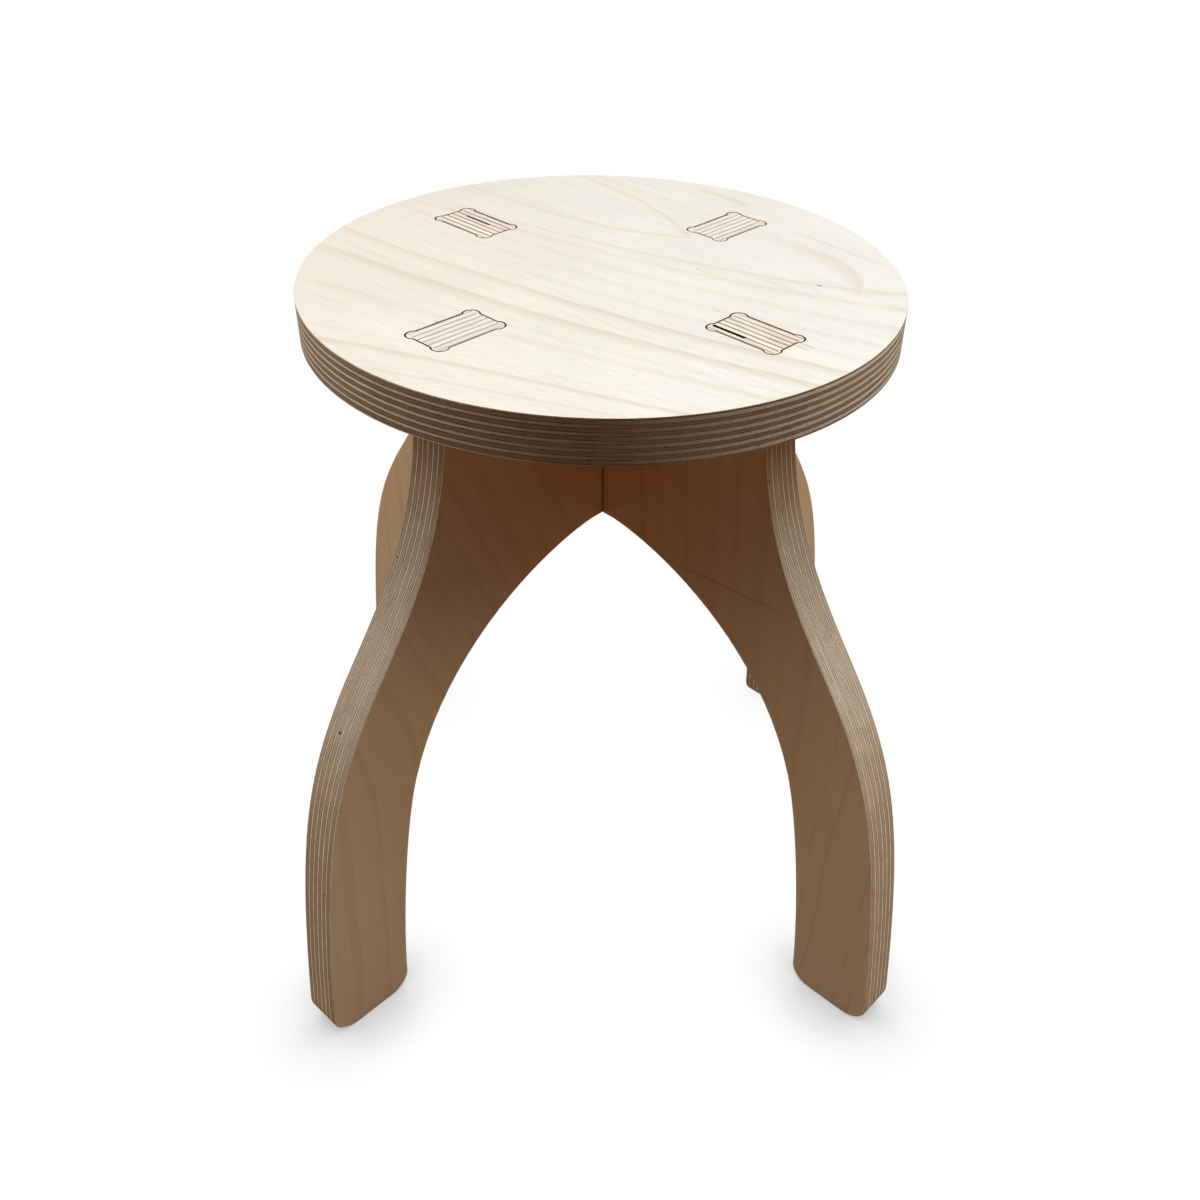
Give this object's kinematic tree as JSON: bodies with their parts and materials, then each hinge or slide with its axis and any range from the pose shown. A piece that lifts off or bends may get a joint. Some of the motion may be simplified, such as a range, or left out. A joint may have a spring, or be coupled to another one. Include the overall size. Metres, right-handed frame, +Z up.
{
  "type": "stool",
  "caption": "Low round plywood stool: a disc seat on two curved leg panels that halve into each other and come through the seat as flush tenons.",
  "frame": {"origin": "on the floor, under the middle of the round seat", "axes": "+Z up through the middle of the seat; the lower leg panel stands in the XZ plane and the upper leg panel in the YZ plane"},
  "size_m": [0.36, 0.36, 0.312],
  "materials": {
    "seat_plywood": "birch plywood with a thin clear matt lacquer, face grain along one diagonal, bare laminated rim",
    "leg_plywood": "birch plywood with a thin clear matt lacquer, face grain upright, bare laminated edges"
  },
  "bodies": {
    "root": {"seat": "seat_plywood", "lower_leg_panel": "leg_plywood", "upper_leg_panel": "leg_plywood"}
  },
  "joints": []
}
